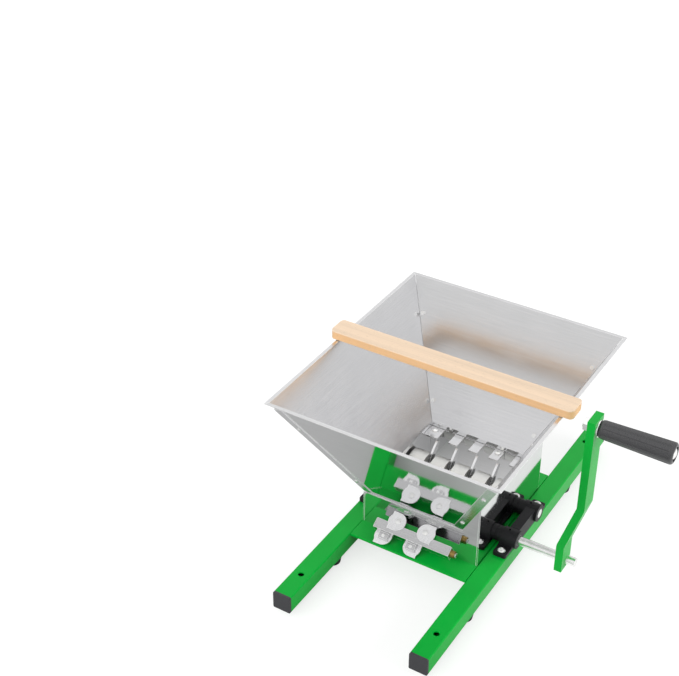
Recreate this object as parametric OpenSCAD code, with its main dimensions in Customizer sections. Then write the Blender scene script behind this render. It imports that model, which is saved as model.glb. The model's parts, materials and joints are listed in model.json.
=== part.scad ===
// Hand cranked apple scratter: a folded sheet hopper on a steel box between two tube rails,
// with two geared knife drums that turn between slotted combs.
// X runs across the rails towards the crank, Y runs back along the rails, Z is up.
// The origin is the centre of the four bench holes, on the underside of the rails.

/* [Frame] */
// Side of the square tube of the rails
rail_w = 25; // [22:1:32]
// Wall of the rail tube
rail_wall = 2; // [1.5:0.5:3]
// Length of each rail
rail_len = 522; // [480:1:640]
// Clear width between the two rails
rail_gap = 167; // [160:1:200]
// Radius of the four bench holes
bench_hole_r = 4; // [3:0.5:5]
// Distance from a rail's end to its bench hole
bench_hole_inset = 41; // [30:1:60]
// Width of the flat top of each crossbar
crossbar_w = 32; // [26:1:40]
// Thickness of the crossbar's angle iron
crossbar_t = 3; // [2:0.5:4]
// Height of the rubber feet
foot_h = 9; // [8:1:16]
// Radius of the rubber feet
foot_r = 12; // [9:0.5:12.5]
// Distance of each foot from the middle of the rail
foot_y = 146; // [140:1:170]

/* [Box] */
// Depth of the box, front face to rear face
box_d = 181; // [178:1:190]
// Thickness of the front and rear plates
end_plate_t = 1.5; // [1:0.5:2.5]
// Thickness of the side plates
side_plate_t = 2; // [1.5:0.5:3]
// Room beside the throat for the gears
gear_room = 22.8; // [21:0.1:26]
// Thickness of the gear guard
guard_t = 1.5; // [1:0.5:2]

/* [Hopper] */
// Thickness of the hopper sheet
sheet_t = 1; // [0.8:0.1:1.5]
// Inside width of the rim, across the rails
rim_w = 308; // [280:1:360]
// Inside depth of the rim, along the rails
rim_d = 360; // [320:1:400]
// Height of the sloping panels
hopper_h = 164; // [120:1:200]
// Height of the throat above the rails
throat_rise = 49; // [46:1:60]
// Depth of the collar that drops into the box
collar_h = 6; // [5:0.5:8]
// Width of the lip folded out round the rim
lip_w = 4.5; // [3:0.5:8]
// Width of the corner flanges
flange_w = 11; // [9:0.5:14]

/* [Drums] */
// Distance between the two axles
axle_gap = 62; // [61:1:66]
// Height of the axles above the rails
axle_rise = 11.5; // [11:0.5:14]
// Radius of the drum spacers
drum_r = 25; // [22:0.5:27]
// Reach of the knives from the axle
knife_reach = 43; // [38:0.5:44]
// Thickness of the knives
knife_t = 3; // [2:0.5:3]
// Distance from one knife to the next
knife_pitch = 30.5; // [26:0.5:36]
// Distance from the throat's left wall to the first knife
first_knife = 29.3; // [24:0.1:32]
// Width of the groove that the knives run in
groove_w = 10; // [7.5:0.5:12]
// Side of the square part of the axles
square_w = 16; // [15:0.5:18]
// Radius of the round ends of the axles
journal_r = 6; // [5:0.5:7]
// Lean of the rear knives from upright
knife_lean = 30; // [10:1:40]
// Thickness of the combs
comb_t = 2; // [1.5:0.5:3]
// Length of the comb's teeth
tooth_len = 24; // [20:0.5:26]
// Width of the comb's slots
slot_w = 17; // [12:0.5:18]

/* [Gears] */
// Teeth on each gear
gear_teeth = 16; // [14:2:20]
// Width of the gears
gear_w = 12; // [8:0.5:13]

/* [Bearings] */
// Radius of the bearing bosses
boss_r = 12; // [11.5:0.5:13.5]
// Length of the bearing bosses
boss_len = 28.5; // [24:0.5:34]
// Radius of the bushes
bush_r = 7.5; // [7:0.5:9.5]
// Distance of the foot bolts from the middle of the block
foot_bolt_y = 53; // [51:0.5:56]
// Thickness of the block's foot
block_foot_t = 5; // [4:0.5:7]

/* [Crank] */
// Distance from the axle to the handle
crank_len = 213; // [180:0.5:240]
// Width of the crank's flat bar
arm_w = 26; // [24:0.5:30]
// Thickness of the crank's flat bar
arm_t = 10; // [8:0.5:12]
// Sideways step of the crank
arm_step = 20; // [16:0.5:30]
// Lean of the crank's middle stretch
arm_lean = 16.5; // [14:0.5:25]
// Gap from the right bearing to the crank
arm_gap = 55; // [45:0.5:70]
// Length of the grip
grip_len = 91; // [80:1:110]
// Radius of the grip's inner end
grip_r0 = 11.5; // [11:0.25:13]
// Radius of the grip's outer end
grip_r1 = 13.5; // [12.5:0.25:15]
// Radius of the handle bolt
handle_bolt_r = 5; // [4:0.5:6]

/* [Loose pieces] */
// Length of the wooden pusher
pusher_len = 338; // [325:1:360]
// Width of the wooden pusher
pusher_w = 32; // [22:0.5:38]
// Thickness of the wooden pusher
pusher_t = 12; // [8:0.5:16]
// Length of the loose rotor's square bar
loose_len = 108; // [104:0.5:120]
// Side of the loose rotor's square bar
loose_bar_w = 13; // [10:0.5:16]
// Width of the loose rotor's blades
blade_w = 21.5; // [19:0.5:28]
// Reach of the loose rotor's blades
blade_reach = 22; // [20:0.5:26]
// Thickness of the loose rotor's blades
blade_t = 2; // [1.5:0.5:3]

/* [Hidden] */
$fn = 48;

// Clearances, and one overrun for every cut
over = 1;
fit = 0.1;
running = 0.05;
rest_gap = 0.3;
side_gap = 1.5;

// Paint, metal, plastic and wood
green = "#12a63d";
steel = "#c9cbcd";
zinc = "#d5d6d4";
black = "#1d1d1f";
brass = "#c2a35a";
beech = "#f0c79a";

// Frame
rail_x = (rail_gap + rail_w) / 2;
tube_corner_r = 2;
bench_hole_y = rail_len / 2 - bench_hole_inset;
crossbar_y = box_d / 2;
cap_t = 3;
cap_plug = 12;
foot_screw_r = 2;
foot_screw_len = 8;
foot_head_r = 4;
foot_head_h = 2.5;
foot_taper = 1.5;

// Box
plate_z = 3;
box_in_x = rail_gap / 2 - side_plate_t;
box_in_y = box_d / 2 - end_plate_t;
throat_z = rail_w + throat_rise;
box_top = throat_z - sheet_t;
throat_l = -box_in_x + fit * 2 + sheet_t;
throat_r = box_in_x - gear_room;
throat_w = throat_r - throat_l;
hopper_x = (throat_r + throat_l) / 2;
throat_d = 2 * (box_in_y - fit - sheet_t);
guard_x = throat_r + sheet_t + fit;
guard_flange = 10;
rivet_r = 2.4;
rivet_head_r = 4.5;
rivet_head_h = 1.4;
rivet_len = 6;
rivet_y = 70;
rivet_z = rail_w / 2;
box_bolt_r = 3;
box_bolt_x = 50;
box_bolt_z = 12;
box_head_r = 5;
box_head_h = 4;
box_nut_h = 5;

// Hopper
rim_z = throat_z + hopper_h;
run_d = (rim_d - throat_d) / 2;
run_w = (rim_w - throat_w) / 2;
seam_gap = 0.3;
seam_turn = 2.1;
flange_stop = 12;
seam_shares = [0.14, 0.73];
seam_screw_r = 1.5;
seam_head_r = 3;
seam_head_h = 1.7;
seam_nut_r = 3.1;
seam_nut_h = 2.4;
hang_flange_w = 13;
hang_y = 50;
rear_bolt_x = 40;

// Drums and combs
axle_y = axle_gap / 2;
axle_z = rail_w + axle_rise;
drum_l = throat_l + side_gap;
drum_end = throat_r - side_gap;
knife_n = floor((throat_w - first_knife - groove_w) / knife_pitch) + 1;
knife_x = [for (i = [0 : knife_n - 1]) throat_l + first_knife + i * knife_pitch];
shoulder_r = 15;
knife_hub_r = 14;
knife_back_x = 8;
knife_edge_x = 5;
knife_back_share = 2.4;
knife_edge_share = 6;
front_lean = 12;
knife_side_gap = 0.5;
knife_step = (groove_w - knife_t) / 2 - knife_side_gap;
comb_gap = 0.5;
comb_back = 2.5;
comb_z = throat_z - collar_h - comb_gap - comb_t;
comb_y = box_in_y - fit;
comb_l = -box_in_x + fit;
comb_r = guard_x - fit;
bracket_w = 12;
bracket_t = 2;
comb_screw_r = 2.5;
comb_head_r = 4.5;
comb_head_h = 2.6;
comb_screw_len = 9;
comb_screw_in = 9;

// Gears
gear_module = axle_gap / gear_teeth;
gear_x = box_in_x - side_gap - gear_w;
gear_hub_r = 11;
backlash_share = 0.04;
pressure = 20;
key_w = 4;

// Bearings
block_x0 = rail_gap / 2 + fit * 2;
block_x1 = block_x0 + boss_len;
block_step = 7.5;
step_drop = 1.6;
foot_x0 = block_x0 + 6;
foot_x1 = rail_gap / 2 + rail_w - 0.5;
foot_l = foot_bolt_y + 8;
foot_corner = 3;
foot_bolt_x = (foot_x0 + foot_x1) / 2;
bearing_bolt_r = 3;
bearing_head_r = 5.5;
bearing_head_h = 3.3;
bearing_nut_r = 5.8;
bearing_nut_h = 5;
bearing_bolt_len = 16;
web_x0 = 12;
web_w = 13;
web_h = 21;
oil_hole_r = 1.5;
clip_t = 1;
clip_w = 2.5;

// Crank
arm_x = block_x1 + arm_gap;
arm_x1 = arm_x + arm_step;
bend_r = 10;
bend_low = 25.5;
arm_turn = 2 * bend_r + arm_t;
bend_high = bend_low + (arm_step - arm_turn * (1 - cos(arm_lean))) / tan(arm_lean)
    + arm_turn * sin(arm_lean);
axle_out = 13;
washer_t = 2;
washer_r = 11;
grip_x = arm_x1 + arm_t + washer_t + fit * 3;
grip_round = 3.5;
grip_recess = 3;
grip_recess_r = 9.2;
flutes = 10;
flute_r = 1.6;
bolt_head_r = 8.5;
bolt_head_h = 4;
handle_nut_r = 8.5;
handle_nut_h = 7;
set_screw_r = 3;
handle_z = axle_z + crank_len;

// Loose pieces
pusher_x = hopper_x + 1.8;
pusher_y = -5;
pusher_round = 3;
pusher_corner = 7;
loose_lean = 31;
loose_x = -0.2;
lug_w = 13;
lug_out = 15;
blade_root = 2;
blade_step = 39.8;
blade_upper_x = -25.3;
blade_lower_x = -39.7;
blade_rivet_r = 2;
blade_rivet_head = 3.8;
stub_r = 3;
stub_len = 7.5;
bush_len = 6;
bush_out_r = 4.8;
loose_y = -box_d / 2 - rest_gap
    - blade_reach * cos(loose_lean) + loose_bar_w / 2 * sin(loose_lean);
loose_z = rail_w + rest_gap + blade_reach * sin(loose_lean)
    + (loose_bar_w / 2 + blade_t) * cos(loose_lean);

// Shapes that several pieces share

// A rectangle with round corners, centred
module round_rect(w, h, r) {
    square([w - 2 * r, h], center = true);
    square([w, h - 2 * r], center = true);
    for (x = [-1, 1], y = [-1, 1])
        translate([x * (w / 2 - r), y * (h / 2 - r)]) circle(r);
}

// A round bar along X from x0 to x1
module bar_x(r, x0, x1) translate([x0, 0, 0]) rotate([0, 90, 0]) cylinder(r = r, h = x1 - x0);

// A square bar along X, turned about its own length
module square_x(w, x0, x1) translate([x0, -w / 2, -w / 2]) cube([x1 - x0, w, w]);

// A domed screw: the head sits on z = 0 and the shank runs down
module domed_screw(r, head_r, head_h, len) {
    rotate_extrude() intersection() {
        translate([0, head_h - (head_r ^ 2 + head_h ^ 2) / (2 * head_h)])
            circle((head_r ^ 2 + head_h ^ 2) / (2 * head_h));
        square([head_r, head_h]);
    }
    translate([0, 0, -len]) cylinder(r = r, h = len + head_h / 2);
}

// A hexagon nut on z = 0 with its bore
module hex_nut(r, h, bore) difference() {
    cylinder(r = r, h = h, $fn = 6);
    translate([0, 0, -over]) cylinder(r = bore, h = h + 2 * over);
}

// Frame

module rail(side) {
    color(green) difference() {
        translate([side * rail_x, rail_len / 2, rail_w / 2]) rotate([90, 0, 0])
            linear_extrude(rail_len) difference() {
                round_rect(rail_w, rail_w, tube_corner_r);
                square(rail_w - 2 * rail_wall, center = true);
            }
        for (y = [-1, 1]) {
            translate([side * rail_x, y * bench_hole_y, -over])
                cylinder(r = bench_hole_r, h = rail_w + 2 * over);
            translate([side * rail_x, y * foot_y, -over])
                cylinder(r = foot_screw_r + fit, h = rail_wall + 2 * over);
            translate([side * foot_bolt_x, y * foot_bolt_y, rail_w - rail_wall - over])
                cylinder(r = bearing_bolt_r + fit, h = rail_wall + 2 * over);
            translate([side * (rail_gap / 2 - over), y * rivet_y, rivet_z])
                rotate([0, side * 90, 0]) cylinder(r = rivet_r + fit, h = rail_wall + 2 * over);
        }
    }
}

module left_rail() rail(-1);
module right_rail() rail(1);

// An angle iron between the rails, flush with their tops, with its leg on the box's side
module crossbar(side) {
    color(green) difference() {
        translate([-rail_gap / 2, crossbar_y, 0]) {
            translate([0, 0, rail_w - crossbar_t]) cube([rail_gap, crossbar_w, crossbar_t]);
            cube([rail_gap, crossbar_t, rail_w]);
        }
        for (x = [-1, 1]) translate([x * box_bolt_x, crossbar_y - over, box_bolt_z])
            rotate([-90, 0, 0]) cylinder(r = box_bolt_r + fit, h = crossbar_t + 2 * over);
    }
}

module front_crossbar() mirror([0, 1, 0]) crossbar();
module rear_crossbar() crossbar();

module rail_end_caps() {
    plug_w = rail_w - 2 * rail_wall - 2 * fit;
    color(black) for (x = [-1, 1], y = [0, 1]) mirror([0, y, 0])
        translate([x * rail_x, rail_len / 2, rail_w / 2]) rotate([-90, 0, 0]) {
            linear_extrude(cap_t) round_rect(rail_w, rail_w, tube_corner_r);
            translate([0, 0, -cap_plug]) linear_extrude(cap_plug + cap_t / 2)
                square(plug_w, center = true);
        }
}

// A tapered foot with a sunk hole for its screw
module rubber_feet() {
    color(black) for (x = [-1, 1], y = [-1, 1]) translate([x * rail_x, y * foot_y, -foot_h])
        difference() {
            cylinder(r1 = foot_r - foot_taper, r2 = foot_r, h = foot_h);
            translate([0, 0, -over]) cylinder(r = foot_screw_r + fit, h = foot_h + 2 * over);
            translate([0, 0, -over]) cylinder(r = foot_head_r + fit * 2, h = foot_head_h * 1.5 + over);
        }
}

module foot_screws() {
    color(zinc) for (x = [-1, 1], y = [-1, 1])
        translate([x * rail_x, y * foot_y, foot_head_h * 1.5 - foot_h]) rotate([180, 0, 0])
            domed_screw(foot_screw_r, foot_head_r, foot_head_h, foot_screw_len);
}

// Box

// Outline of the front and rear plates, seen from the front: the right end rises to the hopper
module end_plate_outline() {
    lean = run_w / hopper_h;
    wall_x = throat_r + sheet_t * sqrt(1 + lean ^ 2) + fit * 3;
    polygon([[-box_in_x + fit / 2, plate_z], [box_in_x - fit / 2, plate_z],
        [box_in_x - fit / 2, throat_z + (box_in_x - wall_x) / lean],
        [wall_x - sheet_t * lean, box_top], [-box_in_x + fit / 2, box_top]]);
}

module end_plate() {
    difference() {
        translate([0, box_d / 2, 0]) rotate([90, 0, 0]) linear_extrude(end_plate_t)
            end_plate_outline();
        for (x = [-1, 1]) translate([x * box_bolt_x, box_in_y - over, box_bolt_z])
            rotate([-90, 0, 0]) cylinder(r = box_bolt_r + fit, h = end_plate_t + 2 * over);
    }
}

module box_front_plate() color(steel) mirror([0, 1, 0]) end_plate();

module box_rear_plate() {
    color(steel) difference() {
        end_plate();
        rear_bolt_places() translate([0, 0, -over - sheet_t])
            cylinder(r = seam_screw_r + fit, h = end_plate_t + sheet_t + 2 * over);
    }
}

// The side plates stand against the rails. The axles pass through wide holes in them.
module side_holes(side) {
    for (y = [-1, 1]) translate([side * (box_in_x - over), 0, 0]) {
        translate([0, y * axle_y, axle_z]) rotate([0, side * 90, 0])
            cylinder(r = journal_r + fit * 10, h = side_plate_t + 2 * over);
        translate([0, y * rivet_y, rivet_z]) rotate([0, side * 90, 0])
            cylinder(r = rivet_r + fit, h = side_plate_t + 2 * over);
    }
}

module box_left_plate() {
    color(steel) difference() {
        translate([-rail_gap / 2, -box_d / 2, plate_z])
            cube([side_plate_t, box_d, box_top - plate_z]);
        side_holes(-1);
    }
}

// The right plate ends in a flange that follows the sloping panel above it
module box_right_plate() {
    lean = run_w / hopper_h;
    tilt = atan(lean);
    wall_x = throat_r + sheet_t * sqrt(1 + lean ^ 2) + fit * 3;
    fold_z = throat_z + (box_in_x - wall_x) / lean;
    fold = [box_in_x, fold_z];
    up = hang_flange_w * [sin(tilt), cos(tilt)];
    out = side_plate_t * [cos(tilt), -sin(tilt)];
    color(steel) difference() {
        translate([0, box_d / 2, 0]) rotate([90, 0, 0]) linear_extrude(box_d)
            polygon([[box_in_x, plate_z], fold, fold + up, fold + up + out,
                fold + [side_plate_t, -side_plate_t * tan(tilt / 2)],
                [box_in_x + side_plate_t, plate_z]]);
        side_holes(1);
        hang_bolt_places() translate([0, 0, -over])
            cylinder(r = seam_screw_r + fit, h = side_plate_t + sheet_t + 3 * over);
    }
}

// Blind rivets that hold the side plates to the rails
module box_rivets() {
    color(zinc) for (x = [-1, 1], y = [-1, 1])
        translate([x * box_in_x, y * rivet_y, rivet_z]) rotate([0, -x * 90, 0])
            domed_screw(rivet_r, rivet_head_r, rivet_head_h, rivet_len);
}

module box_bolts() {
    color(zinc) for (x = [-1, 1], y = [0, 1]) mirror([0, y, 0])
        translate([x * box_bolt_x, crossbar_y + crossbar_t, box_bolt_z]) rotate([-90, 0, 0])
            domed_screw(box_bolt_r, box_head_r, box_head_h,
                crossbar_t + end_plate_t + box_nut_h + side_gap);
}

module box_nuts() {
    color(zinc) for (x = [-1, 1], y = [0, 1]) mirror([0, y, 0])
        translate([x * box_bolt_x, box_in_y, box_bolt_z]) rotate([90, 0, 0])
            hex_nut(box_head_r, box_nut_h, box_bolt_r + running);
}

// The guard keeps pulp out of the gears
module gear_guard() {
    z0 = plate_z + guard_flange / 2;
    top = box_top;
    y1 = box_in_y - fit;
    color(steel) difference() {
        translate([guard_x, 0, z0]) {
            translate([0, -y1, 0]) cube([guard_t, 2 * y1, top - z0]);
            for (y = [-y1, y1 - guard_t])
                translate([0, y, 0]) cube([guard_flange, guard_t, top - z0]);
        }
        for (y = [-1, 1]) translate([guard_x - over, y * axle_y, axle_z]) rotate([0, 90, 0])
            cylinder(r = journal_r + fit * 10, h = guard_t + 2 * over);
    }
}

// Hopper

function is_end(k) = k % 2 == 0;
function low_w(k) = is_end(k) ? throat_w : throat_d;
function high_w(k) = is_end(k) ? rim_w : rim_d;
function reach(k) = (is_end(k) ? throat_d : throat_w) / 2;
function run(k) = is_end(k) ? run_d : run_w;
function slant(k) = sqrt(run(k) ^ 2 + hopper_h ^ 2);

// Side k of the hopper, 0 front, 1 right, 2 rear, 3 left: x along it, y up the slope, z outwards
module on_side(k)
    translate([hopper_x, 0, throat_z]) rotate([0, 0, 90 * k]) translate([0, -reach(k), 0])
        rotate([90 + atan(run(k) / hopper_h), 0, 0]) children();

// A place on the seam at the end of side k, a share of the way up and inset from the edge
module on_seam(k, end, share, inset) {
    widen = (high_w(k) - low_w(k)) / 2;
    seam = sqrt(widen ^ 2 + slant(k) ^ 2);
    on_side(k) translate([end * (low_w(k) / 2 + widen * share - inset * slant(k) / seam),
        slant(k) * share + inset * widen / seam, 0]) children();
}

// Every seam screw's place: on the front and rear panels, at both ends
module seam_places() {
    for (k = [0, 2], end = [-1, 1], share = seam_shares)
        on_seam(k, end, share, flange_w / 2) children();
}

module sloped_sheet(k, low, high)
    linear_extrude(sheet_t) polygon([[-low / 2, 0], [low / 2, 0],
        [high / 2, slant(k)], [-high / 2, slant(k)]]);

// The lip, mitred at the corners, and the collar that drops into the box
module lip_and_collar(k) translate([hopper_x, 0, 0]) rotate([0, 0, 90 * k]) {
    translate([0, -reach(k) - run(k), rim_z - sheet_t]) mirror([0, 1, 0])
        linear_extrude(sheet_t) polygon([[-high_w(k) / 2, 0], [high_w(k) / 2, 0],
            [high_w(k) / 2 + lip_w, lip_w], [-high_w(k) / 2 - lip_w, lip_w]]);
    translate([-low_w(k) / 2, -reach(k) - sheet_t, throat_z - collar_h])
        cube([low_w(k), sheet_t, collar_h]);
}

// Front and rear panels are plain; their edges stop just short of the side panels
module end_panel(k) {
    difference() {
        union() {
            on_side(k) sloped_sheet(k, low_w(k) - 2 * seam_gap, high_w(k) - 2 * seam_gap);
            lip_and_collar(k);
        }
        seam_places() translate([0, 0, -over])
            cylinder(r = seam_screw_r + fit, h = sheet_t + 2 * over);
    }
}

// A flange of a side panel, lying on the outer face of side k
module corner_flange(k, end) {
    widen = (high_w(k) - low_w(k)) / 2;
    seam = sqrt(widen ^ 2 + slant(k) ^ 2);
    along = [widen, slant(k)] / seam;
    inward = [-slant(k), widen] / seam;
    foot = [low_w(k) / 2, 0];
    tip = foot + along * (seam - flange_stop);
    on_side(k) mirror([end > 0 ? 0 : 1, 0, 0]) translate([0, 0, sheet_t + fit / 2])
        linear_extrude(sheet_t) polygon([foot + inward * flange_w,
            tip + inward * flange_w, tip - inward * sheet_t, foot - inward * sheet_t]);
}

// Side panels run past the seams and turn on to the end panels
module side_panel(k) {
    turn = sheet_t * seam_turn;
    stop = slant(k) * (1 - flange_stop / hopper_h);
    stop_w = low_w(k) + (high_w(k) - low_w(k)) * stop / slant(k);
    difference() {
        union() {
            on_side(k) sloped_sheet(k, low_w(k), high_w(k));
            on_side(k) linear_extrude(sheet_t) polygon([[-low_w(k) / 2 - turn, 0],
                [low_w(k) / 2 + turn, 0], [stop_w / 2 + turn, stop], [-stop_w / 2 - turn, stop]]);
            corner_flange(k - 1, 1);
            corner_flange((k + 1) % 4, -1);
            lip_and_collar(k);
        }
        seam_places() translate([0, 0, -over])
            cylinder(r = seam_screw_r + fit, h = 2 * sheet_t + 2 * over);
    }
}

module hopper_front_panel() color(steel) end_panel(0);

module hopper_rear_panel() {
    color(steel) difference() {
        end_panel(2);
        rear_bolt_places() translate([0, 0, -over - sheet_t])
            cylinder(r = seam_screw_r + fit, h = end_plate_t + sheet_t + 2 * over);
    }
}

module hopper_left_panel() color(steel) side_panel(3);

module hopper_right_panel() {
    color(steel) difference() {
        side_panel(1);
        hang_bolt_places() translate([0, 0, -over])
            cylinder(r = seam_screw_r + fit, h = side_plate_t + sheet_t + 3 * over);
    }
}

module seam_screws() {
    color(zinc) seam_places() translate([0, 0, 2 * sheet_t + fit])
        domed_screw(seam_screw_r, seam_head_r, seam_head_h, 2 * sheet_t + seam_nut_h + 2 * fit);
}

module seam_nuts() {
    color(zinc) seam_places() translate([0, 0, -seam_nut_h])
        hex_nut(seam_nut_r, seam_nut_h, seam_screw_r + running);
}

// Where the right panel is bolted to the box's flange: z = 0 on the panel's inner face
module hang_bolt_places() {
    lean = run_w / hopper_h;
    up = ((box_in_x - throat_r) / lean) * sqrt(1 + lean ^ 2) + hang_flange_w / 2;
    for (x = [-1, 1]) on_side(1) translate([x * hang_y, up, 0]) children();
}

// Where the rear plate is bolted to the collar: z = 0 on the plate's inner face
module rear_bolt_places() {
    for (x = [-1, 1]) translate([hopper_x + x * rear_bolt_x, box_in_y,
        (throat_z + throat_z - collar_h) / 2 - sheet_t / 2]) rotate([-90, 0, 0]) children();
}

module hopper_bolts() {
    grip_t = side_plate_t + sheet_t + fit * 3;
    color(zinc) {
        hang_bolt_places() rotate([180, 0, 0])
            domed_screw(seam_screw_r, seam_head_r, seam_head_h, grip_t + seam_nut_h);
        rear_bolt_places() translate([0, 0, end_plate_t])
            domed_screw(seam_screw_r, seam_head_r, seam_head_h,
                end_plate_t + sheet_t + fit + seam_nut_h);
    }
}

module hopper_nuts() {
    color(zinc) {
        hang_bolt_places() translate([0, 0, side_plate_t + sheet_t + fit * 4])
            hex_nut(seam_nut_r, seam_nut_h, seam_screw_r + running);
        rear_bolt_places() translate([0, 0, -fit - sheet_t - seam_nut_h])
            hex_nut(seam_nut_r, seam_nut_h, seam_screw_r + running);
    }
}

// Combs

// The places of the two comb screws, on the first tooth and the last but one
function comb_screw_x() = [(comb_l + knife_x[0] - slot_w / 2) / 2,
    (knife_x[knife_n - 2] + knife_x[knife_n - 1]) / 2];

module comb() {
    color(steel) difference() {
        translate([comb_l, comb_y - tooth_len - fit, comb_z])
            cube([comb_r - comb_l, tooth_len + fit, comb_t]);
        for (x = knife_x) translate([x - slot_w / 2, comb_y - tooth_len - over, comb_z - over])
            cube([slot_w, tooth_len - comb_back + over, comb_t + 2 * over]);
        for (x = comb_screw_x()) translate([x, comb_y - comb_screw_in, comb_z - over])
            cylinder(r = comb_screw_r + fit, h = comb_t + 2 * over);
    }
}

module front_comb() mirror([0, 1, 0]) comb();
module rear_comb() comb();

// Angle brackets on the end plates, one under each comb screw
module comb_brackets() {
    color(steel) for (y = [0, 1], x = comb_screw_x()) mirror([0, y, 0]) difference() {
        translate([x - bracket_w / 2, box_in_y - bracket_w, comb_z - bracket_t]) {
            cube([bracket_w, bracket_w, bracket_t]);
            translate([0, bracket_w - bracket_t, bracket_t - bracket_w])
                cube([bracket_w, bracket_t, bracket_w]);
        }
        translate([x, comb_y - comb_screw_in, comb_z - bracket_t - over])
            cylinder(r = comb_screw_r + running, h = bracket_t + 2 * over);
    }
}

module comb_screws() {
    color(zinc) for (y = [0, 1], x = comb_screw_x()) mirror([0, y, 0])
        translate([x, comb_y - comb_screw_in, comb_z + comb_t])
            domed_screw(comb_screw_r, comb_head_r, comb_head_h, comb_screw_len);
}

// Bearings

// A block on the right rail's top: two stepped bosses, a web between them and a foot plate
module bearing_block() {
    color(black) difference() {
        union() {
            for (y = [-1, 1]) {
                translate([0, y * axle_y, axle_z]) {
                    bar_x(boss_r - step_drop, block_x0, block_x0 + block_step);
                    bar_x(boss_r, block_x0 + block_step, block_x1);
                }
                translate([foot_x0, y * axle_y - boss_r, rail_w])
                    cube([foot_x1 - foot_x0, 2 * boss_r, axle_z - rail_w]);
            }
            translate([block_x0 + web_x0, -axle_y, rail_w]) cube([web_w, 2 * axle_y, web_h]);
            translate([foot_bolt_x, 0, rail_w]) linear_extrude(block_foot_t)
                round_rect(foot_x1 - foot_x0, 2 * foot_l, foot_corner);
        }
        // The bosses are milled flat with the foot, where they sit on the rail
        translate([block_x0 - over, -axle_y - boss_r - over, rail_w - boss_r])
            cube([boss_len + 2 * over, 2 * (axle_y + boss_r + over), boss_r]);
        for (y = [-1, 1]) {
            translate([0, y * axle_y, axle_z]) bar_x(bush_r + fit / 2, block_x0 - over,
                block_x1 + over);
            translate([foot_bolt_x, y * foot_bolt_y, rail_w - over])
                cylinder(r = bearing_bolt_r + fit, h = block_foot_t + 2 * over);
            translate([foot_bolt_x, y * axle_y, axle_z + bush_r + side_gap])
                cylinder(r = oil_hole_r, h = boss_r);
        }
    }
}

module left_bearing_block() mirror([1, 0, 0]) bearing_block();
module right_bearing_block() bearing_block();

module bearing_bushes() {
    color(black) for (x = [0, 1], y = [-1, 1]) mirror([x, 0, 0])
        translate([0, y * axle_y, axle_z]) difference() {
            bar_x(bush_r, block_x0, block_x1);
            bar_x(journal_r + running, block_x0 - over, block_x1 + over);
        }
}

module bearing_bolts() {
    color(zinc) for (x = [-1, 1], y = [-1, 1])
        translate([x * foot_bolt_x, y * foot_bolt_y, rail_w + block_foot_t])
            domed_screw(bearing_bolt_r, bearing_head_r, bearing_head_h, bearing_bolt_len);
}

module bearing_nuts() {
    color(zinc) for (x = [-1, 1], y = [-1, 1])
        translate([x * foot_bolt_x, y * foot_bolt_y, rail_w - rail_wall - bearing_nut_h])
            hex_nut(bearing_nut_r, bearing_nut_h, bearing_bolt_r + running);
}

// Drums. Each is modelled about the X axis, with its knives upright, and then put in place.

module at_front() translate([0, -axle_y, axle_z]) children();
module at_rear() translate([0, axle_y, axle_z]) children();
module turned_front() rotate([front_lean - 90, 0, 0]) mirror([0, 1, 0]) children();
module turned_rear() rotate([-knife_lean, 0, 0]) children();

module key_slot(clear) translate([gear_x - fit, -key_w / 2 - clear, journal_r - key_w / 2])
    cube([gear_w + 2 * fit, key_w + 2 * clear, key_w]);

// The axle: square between the walls, round in its bearings, with a slot for the gear's key
module axle(turn, key_turn, x1) difference() {
    union() {
        rotate([turn, 0, 0]) square_x(square_w, drum_l, drum_end);
        bar_x(journal_r, -block_x1 - 2 * (clip_t + rest_gap), drum_l + over);
        bar_x(journal_r, drum_end - over, x1);
    }
    rotate([key_turn, 0, 0]) key_slot(running);
}

// Spacers between the knives, with shoulders that clamp them. The knives stand off to one
// side of their grooves, so that those of the front drum pass beside those of the rear one.
module drum_spacers(step) {
    half = groove_w / 2;
    hub = knife_t / 2 + fit / 2;
    for (i = [0 : knife_n]) {
        x0 = i == 0 ? drum_l : knife_x[i - 1] + half;
        x1 = i == knife_n ? drum_end : knife_x[i] - half;
        s0 = i == 0 ? drum_l : knife_x[i - 1] + step + hub;
        s1 = i == knife_n ? drum_end : knife_x[i] + step - hub;
        difference() {
            union() {
                bar_x(drum_r, x0, x1);
                bar_x(shoulder_r, s0, s1);
            }
            square_x(square_w + 2 * fit, s0 - over, s1 + over);
        }
    }
}

// A knife arm: its back is an arc that curls over to the tip, its hollow edge a flatter arc
module knife_arm() {
    back_r = knife_reach * knife_back_share;
    edge_r = knife_reach * knife_edge_share;
    difference() {
        intersection() {
            circle(knife_reach);
            translate([back_r - knife_back_x, 0]) circle(back_r, $fn = 4 * $fn);
            translate([-knife_reach, 0]) square([2 * knife_reach, knife_reach]);
        }
        translate([edge_r + knife_edge_x, 0]) circle(edge_r, $fn = 4 * $fn);
    }
}

module knife() {
    rotate([0, 90, 0]) translate([0, 0, -knife_t / 2]) linear_extrude(knife_t) difference() {
        union() {
            circle(knife_hub_r);
            for (a = [90, 270]) rotate(a) knife_arm();
        }
        square(square_w + 2 * fit, center = true);
    }
}

module knives(step) for (x = knife_x) translate([x + step, 0, 0]) knife();

// Gear: involute flanks worked out from the module, thinned by the backlash
function involute(base_r, a) = base_r * [cos(a) + a * PI / 180 * sin(a), sin(a) - a * PI / 180 * cos(a)];
function turned(p, a) = [p[0] * cos(a) - p[1] * sin(a), p[0] * sin(a) + p[1] * cos(a)];
function flank_end(base_r, r) = sqrt((r / base_r) ^ 2 - 1) * 180 / PI;

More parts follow.
